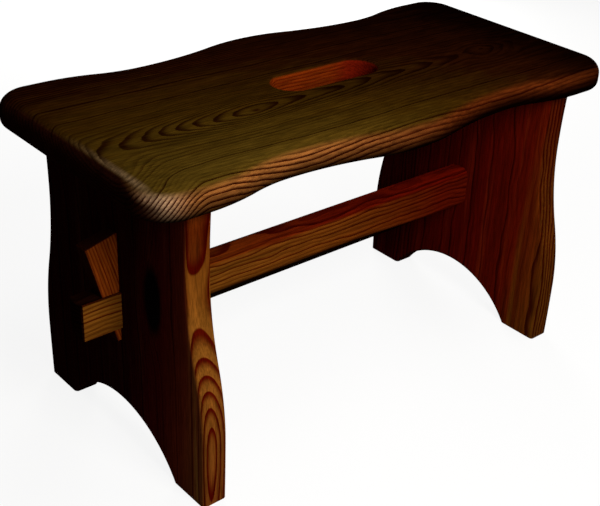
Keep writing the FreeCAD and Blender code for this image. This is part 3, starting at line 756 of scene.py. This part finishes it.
# The seat's grain, in millimetres, with fades and hills as for the legs. A knot is its place along
# the seat, how many rings it draws down, how many fewer each millimetre away, and its tilt.
SEAT_PITH_Y, SEAT_PITH_ABOVE = -24.0, 57.0
SEAT_RING = 2.0
SEAT_WIDE_FROM, SEAT_WIDE = 78.0, -0.13
SEAT_SWAY_PATCHES, SEAT_SWAY = (0.011, 0.03, 0.03), 2.4
SEAT_WAVER_PATCHES, SEAT_WAVER = (0.05, 0.16, 0.16), 0.5
SEAT_KNOTS = ((-80.0, 9.15, -0.056, 0.016), (134.0, 3.2, -0.09, 0.0))
SEAT_KNOT_SKEW, SEAT_KNOT_BLUNT, SEAT_KNOTS_MERGE = -0.55, 4.472, 1.0
SEAT_RIDGE_HALF = 21.0
SEAT_TONGUE = ((-190.0, -62.0), (110.0, 14.0), -1.6)
SEAT_CORNER_FALL, SEAT_EDGE_FALL = (-207.0, -162.0, -8.0, 0.0), (-160.0, -80.0, 0.0, -1.5)
SEAT_FALL_FRONT = (-88.0, -20.0, 1.0, 0.0)
SEAT_FIBRE = (0.08, 0.9, 0.9)
SEAT_FAINTEST, SEAT_FAINT_SHARE = 0.28, 0.35
SEAT_FIGURE_RINGS, SEAT_FIGURE_RIGHT = (28.5, 32.0, 1.0, 0.0), (60.0, 120.0, 1.0, 0.75)
SEAT_SAWN_RIGHT = (-60.0, 110.0, 1.0, 0.6)
SEAT_BACK_LINES, SEAT_BACK_LINES_LEFT = (48.0, 62.0), (-40.0, 20.0, 0.9, 0.0)


def seat_rings(shader, place, waver):
    """The seat's ring count, and its ridge: 1 under the pith line, falling to 0 on both sides.

    The count grows with the distance from a pith line above the board, more slowly far from it.
    Along the ridge it falls towards each small knot like a cone, which draws the nested arrowheads
    and the closed eyes. It also falls at the left front corner, where the edge shows arches.
    """
    x, y, z = shader.split(place)
    across = shader.add(y, -SEAT_PITH_Y)
    down = shader.line(z, -1.0, SEAT_PITH_ABOVE + SEAT_HIGH / MM)
    distance = shader.distance(across, down)
    past = shader.maths("MAXIMUM", shader.add(distance, -SEAT_WIDE_FROM), 0.0)
    skew = shader.times(shader.maths("MINIMUM", across, 0.0), SEAT_KNOT_SKEW)
    cones = []
    for knot_x, rise, slope, tilt in SEAT_KNOTS:
        off = shader.add(x, skew, -knot_x)
        reach = shader.distance(off, 0.0, SEAT_KNOT_BLUNT)
        cones.append(shader.add(rise, shader.times(reach, slope), shader.times(off, tilt)))
    cone = shader.maths("MAXIMUM", shader.maths("SMOOTH_MAX", *cones, SEAT_KNOTS_MERGE), 0.0)
    near = shader.times(across, 1 / SEAT_RIDGE_HALF)
    ridge = shader.maths("EXPONENT", shader.times(near, near, -1.0))
    fall = shader.add(shader.ease(x, *SEAT_CORNER_FALL), shader.ease(x, *SEAT_EDGE_FALL))
    sway = shader.noise(shader.stretch(place, SEAT_SWAY_PATCHES))
    rings = shader.add(
        shader.times(distance, 1 / SEAT_RING),
        shader.times(past, SEAT_WIDE),
        shader.times(fall, shader.ease(y, *SEAT_FALL_FRONT)),
        shader.times(cone, ridge, -1.0),
        hill(shader, x, y, *SEAT_TONGUE),
        shader.times(sway, SEAT_SWAY),
        shader.times(waver, SEAT_WAVER),
    )
    return rings, ridge


# The seat's colours: an olive top that darkens to brown and red backwards and rightwards, orange
# sawn edges that darken rightwards and downwards, dark end grain, and a pale corner and rim. The
# darkening of the top and the edges is painted shade, the end grain's dark is partly painted
# shade, and the pale corner and rim are a painted highlight.
# Painted shade: the top's tone darkens backwards and rightwards.
SEAT_TOP_FORWARDS, SEAT_TOP_LEFTWARDS = (-0.0046, 0.64), (-170.0, 290.0, 1.0, 0.0)
SEAT_TOP_CLOUD = 0.25
SEAT_TOP_TONES = (
    (0.0, (0.066, 0.037, 0.004, 1)),
    (0.36, (0.036, 0.0155, 0.001, 1)),
    (0.7, (0.0165, 0.0034, 0.0005, 1)),
    (0.95, (0.005, 0.0008, 0.0002, 1)),
)
SEAT_TOP_LATE_TINT = (0.25, 0.12, 0.1, 1)
# Painted shade: the top and the edge darken towards the right end.
SEAT_RIGHT_END_FADE = (130.0, 196.0, 1.0, 0.42)
# Painted shade: the sawn edges darken rightwards and towards the underside.
SEAT_EDGE_LEFT = {"early": (0.235, 0.082, 0.018, 1), "late": (0.025, 0.0015, 0.0002, 1)}
SEAT_EDGE_RIGHT = {"early": (0.085, 0.016, 0.0025, 1), "late": (0.025, 0.002, 0.0004, 1)}
SEAT_EDGE_FADE, SEAT_ARRIS_FADE = (-110.0, 50.0), (0.36, 0.75)
SEAT_UNDER_FADE, SEAT_UNDER_RIGHT = (207.5, 221.0, 0.03, 1.0), (-50.0, 110.0, 0.0, -3.5)
# Dark end grain with painted shade over it, towards the back of each end.
SEAT_SHADED_END_GRAIN = {"early": (0.016, 0.003, 0.001, 1), "late": (0.007, 0.0012, 0.0004, 1)}
SEAT_END_FADE, SEAT_END_ARRIS_FADE = (188.0, 194.0), (0.3, 0.5)
SEAT_END_BACK_FADE, SEAT_END_SLANT = (-62.0, -32.0), 45.0
# Painted highlight: the pale front left corner and the pale rim on the left end's upper arris.
SEAT_HIGHLIGHT = (0.4, 0.25, 0.14, 1)
SEAT_HIGHLIGHT_CORNER = ((-193.0, -88.0), (12.0, 16.0), 0.9)
SEAT_RIM_FADE, SEAT_RIM_ARRIS_FADE = (-196.5, -191.0, 1.0, 0.0), (0.2, 0.58, 1.0, 0.0)
SEAT_RIM_BACK_FADE, SEAT_RIM_HIGHLIGHT = (-75.0, 12.0, 1.0, 0.0), 0.55
SLOT_REACH_X, SLOT_REACH_Y = 50.0, 20.0
SLOT_TONE = {"early": (0.12, 0.016, 0.001, 1), "late": (0.075, 0.006, 0.0004, 1)}
# Painted shade at the slot's right end.
SLOT_END_SHADE, SLOT_END_FADE = (0.1, 0.005, 0.001, 1), (13.0, 38.0)
SEAT_DOT = ((-79.0, -26.0), (3.5, 2.0), 1.0)
SEAT_DOT_DARK = (0.012, 0.002, 0.0004, 1)


def seat_tones(shader, place, waver, rolled, turned):
    """The colours of the seat's early and late wood.

    The top's tone runs from 0 at the front left to 1: it is 1 less how far forwards times how far
    leftwards a point is, and varies a little with the grain's waver. Its darkening towards 1 and
    towards the right end is painted shade. The edge, the slot, the pale places and the end grain
    are laid over it in turn, each where its fades say. The edge's darkening downwards and
    rightwards and the slot's dark right end are painted shade, the pale places are a painted
    highlight, and the end grain's dark is partly painted shade.
    """
    x, y, z = shader.split(place)
    # Painted shade: the top darkens backwards, rightwards and at its right end.
    forwards = shader.line(y, *SEAT_TOP_FORWARDS)
    lightness = shader.times(forwards, shader.ease(x, *SEAT_TOP_LEFTWARDS))
    cloud = shader.line(waver, SEAT_TOP_CLOUD, -SEAT_TOP_CLOUD / 2)
    top = shader.ramp(shader.add(1.0, shader.times(lightness, -1.0), cloud), *SEAT_TOP_TONES)
    right_end = shader.ease(x, *SEAT_RIGHT_END_FADE)
    top = shader.shade(top, right_end)
    # Painted shade: the edge darkens towards the underside and the right end.
    above = shader.add(z, shader.ease(x, *SEAT_UNDER_RIGHT))
    edge_shade = shader.times(shader.ease(above, *SEAT_UNDER_FADE), right_end)
    rightwards = shader.ease(x, *SEAT_EDGE_FADE)
    half_length = shader.maths("ABSOLUTE", x)
    # Dark end grain with painted shade over it.
    shaded_end_grain = shader.times(
        shader.ease(half_length, *SEAT_END_FADE),
        shader.ease(shader.add(y, shader.times(rolled, SEAT_END_SLANT)), *SEAT_END_BACK_FADE),
        shader.ease(rolled, *SEAT_END_ARRIS_FADE),
    )
    # Painted highlight on the left end's upper arris.
    highlit_rim = shader.times(
        shader.ease(x, *SEAT_RIM_FADE),
        shader.ease(rolled, *SEAT_RIM_ARRIS_FADE),
        shader.ease(y, *SEAT_RIM_BACK_FADE),
        SEAT_RIM_HIGHLIGHT,
    )
    in_slot = shader.times(
        shader.maths("LESS_THAN", half_length, SLOT_REACH_X),
        shader.maths("LESS_THAN", shader.maths("ABSOLUTE", y), SLOT_REACH_Y),
    )
    # Painted shade: the slot darkens towards its right end.
    slot_end = shader.ease(x, *SLOT_END_FADE)
    tones = []
    for kind, flat in (("early", top), ("late", shader.tint(top, SEAT_TOP_LATE_TINT))):
        edge = shader.blend(rightwards, SEAT_EDGE_LEFT[kind], SEAT_EDGE_RIGHT[kind])
        if kind == "early":
            # Painted highlight at the front left corner.
            edge = shader.blend(hill(shader, x, y, *SEAT_HIGHLIGHT_CORNER), edge, SEAT_HIGHLIGHT)
        slot = shader.blend(slot_end, SLOT_TONE[kind], SLOT_END_SHADE)
        edge = shader.blend(in_slot, shader.shade(edge, edge_shade), slot)
        tone = shader.blend(turned, flat, edge)
        if kind == "early":
            tone = shader.blend(highlit_rim, tone, SEAT_HIGHLIGHT)
        tones.append(shader.blend(shaded_end_grain, tone, SEAT_SHADED_END_GRAIN[kind]))
    return tones


def seat_wood():
    """The seat's material: its rings and tones, with some lines bolder than chance makes them.

    Those are the figure along the ridge, the lines on the sawn edge and a few at the left back.
    """
    shader = Shader("seat_wood")
    place = shader.millimetres()
    x, y, _ = shader.split(place)
    waver = shader.noise(shader.stretch(place, SEAT_WAVER_PATCHES))
    rolled = shader.mark("rolled")
    turned = shader.ease(rolled, *SEAT_ARRIS_FADE)
    rings, ridge = seat_rings(shader, place, waver)
    tones = seat_tones(shader, place, waver, rolled, turned)
    figure = shader.times(shader.ease(rings, *SEAT_FIGURE_RINGS), ridge, shader.ease(x, *SEAT_FIGURE_RIGHT))
    sawn = shader.times(turned, shader.ease(x, *SEAT_SAWN_RIGHT))
    backmost = shader.times(shader.ease(y, *SEAT_BACK_LINES), shader.ease(x, *SEAT_BACK_LINES_LEFT))
    bold = shader.maths("MAXIMUM", figure, shader.maths("MAXIMUM", sawn, backmost))
    fibre = shader.stretch(place, SEAT_FIBRE)
    colour, band = wood(shader, rings, fibre, *tones, SEAT_FAINTEST, SEAT_FAINT_SHARE, bold)
    return finish(shader, shader.blend(hill(shader, x, y, *SEAT_DOT), colour, SEAT_DOT_DARK), band)


seat = seat_mesh()
seat.data.materials.append(seat_wood())
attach(seat, "frame")
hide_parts("seat_board")

# The setting: a plain floor that the camera sees as white paper with the stool's shadow on it, and
# three soft lamps, one before the stool's left half, one above its right half and a low one behind.
FLOOR_HALF = 4.0
FLOOR_Z = -0.3 * MM
FLOOR_COLOUR = (0.25, 0.25, 0.25, 1)
FLOOR_GLOW_SHARE = 0.88
WHITE = (1, 1, 1, 1)
AMBIENT = 0.06

floor_mesh = bpy.data.meshes.new("floor")
floor_corners = [(x * FLOOR_HALF, y * FLOOR_HALF, FLOOR_Z) for x, y in ((-1, -1), (1, -1), (1, 1), (-1, 1))]
floor_mesh.from_pydata(floor_corners, [], [(0, 1, 2, 3)])
floor = bpy.data.objects.new("floor", floor_mesh)
bpy.context.scene.collection.objects.link(floor)


def seen_straight(nodes, links):
    """1 for rays that come from the camera, off something glossy or through something clear."""
    path = nodes.new("ShaderNodeLightPath")
    total = path.outputs["Is Camera Ray"]
    for ray in ("Is Glossy Ray", "Is Transmission Ray"):
        add = nodes.new("ShaderNodeMath")
        links.new(total, add.inputs[0])
        links.new(path.outputs[ray], add.inputs[1])
        total = add.outputs[0]
    return total


def paper():
    """Matt paper that adds white to what the camera sees of it, so that its shadow stays pale."""
    shader = Shader("floor_paper")
    nodes, links = shader.tree.nodes, shader.tree.links
    seen = seen_straight(nodes, links)
    shader.put(shader.surface.inputs["Base Color"], shader.blend(seen, FLOOR_COLOUR, WHITE))
    shader.surface.inputs["Roughness"].default_value = 1.0
    shader.surface.inputs["Specular IOR Level"].default_value = 0.0
    glow = nodes.new("ShaderNodeEmission")
    glow.inputs["Color"].default_value = WHITE
    blend = nodes.new("ShaderNodeMixShader")
    links.new(shader.times(seen, FLOOR_GLOW_SHARE), blend.inputs[0])
    links.new(shader.surface.outputs[0], blend.inputs[1])
    links.new(glow.outputs[0], blend.inputs[2])
    links.new(blend.outputs[0], nodes["Material Output"].inputs["Surface"])
    return shader.material


floor.data.materials.append(paper())

world = bpy.data.worlds.new("studio")
bpy.context.scene.world = world
world.use_nodes = True
tree = world.node_tree
background = tree.nodes["Background"]
background.inputs["Color"].default_value = WHITE
strength = tree.nodes.new("ShaderNodeMapRange")
strength.inputs["To Min"].default_value = AMBIENT
tree.links.new(seen_straight(tree.nodes, tree.links), strength.inputs["Value"])
tree.links.new(strength.outputs[0], background.inputs["Strength"])


def lamp(name, place, target, size, power, colour):
    """A square soft lamp at a place, turned to shine at a target."""
    light = bpy.data.lights.new(name, "AREA")
    light.shape = "SQUARE"
    light.size = size
    light.energy = power
    light.color = colour
    holder = bpy.data.objects.new(name, light)
    bpy.context.scene.collection.objects.link(holder)
    way = np.array(target) - np.array(place)
    turn = math.atan2(way[1], way[0]) - math.pi / 2
    tilt = math.atan2(math.hypot(way[0], way[1]), -way[2])
    holder.matrix_world = (
        Matrix.Translation(place) @ Matrix.Rotation(turn, 4, "Z") @ Matrix.Rotation(tilt, 4, "X")
    )


lamp("key", (-0.14, -0.66, 0.62), target=(-0.02, 0, 0.13), size=0.3, power=6.0, colour=(1, 0.97, 0.92))
lamp("top", (0.35, -0.25, 1.0), target=(0.05, 0, 0.2), size=0.5, power=3.0, colour=(1, 0.98, 0.95))
lamp("back", (0.6, 0.85, 0.24), target=(0, 0, 0.12), size=0.4, power=9.0, colour=(1, 0.98, 0.95))

# The camera stands where the photograph's did. Its place, turn, lens and shift were worked out
# together with the stool's proportions.
CAMERA_PLACE = (-0.48589, -0.54642, 0.49390)
CAMERA_AZIMUTH, CAMERA_TILT, CAMERA_ROLL = -44.552, 60.899, 4.166
CAMERA_SENSOR, CAMERA_LENS, CAMERA_SHIFT = 36, 67.544, (-0.11032, 0.00525)
CAMERA_NEAREST = 10 * MM

camera = bpy.data.cameras.new("camera")
camera.sensor_width = CAMERA_SENSOR
camera.lens = CAMERA_LENS
camera.shift_x, camera.shift_y = CAMERA_SHIFT
camera.clip_start = CAMERA_NEAREST
viewer = bpy.data.objects.new("camera", camera)
bpy.context.scene.collection.objects.link(viewer)
viewer.matrix_world = (
    Matrix.Translation(CAMERA_PLACE)
    @ Matrix.Rotation(math.radians(CAMERA_AZIMUTH), 4, "Z")
    @ Matrix.Rotation(math.radians(CAMERA_TILT), 4, "X")
    @ Matrix.Rotation(math.radians(CAMERA_ROLL), 4, "Z")
)
bpy.context.scene.camera = viewer
bpy.context.scene.view_settings.view_transform = "Standard"
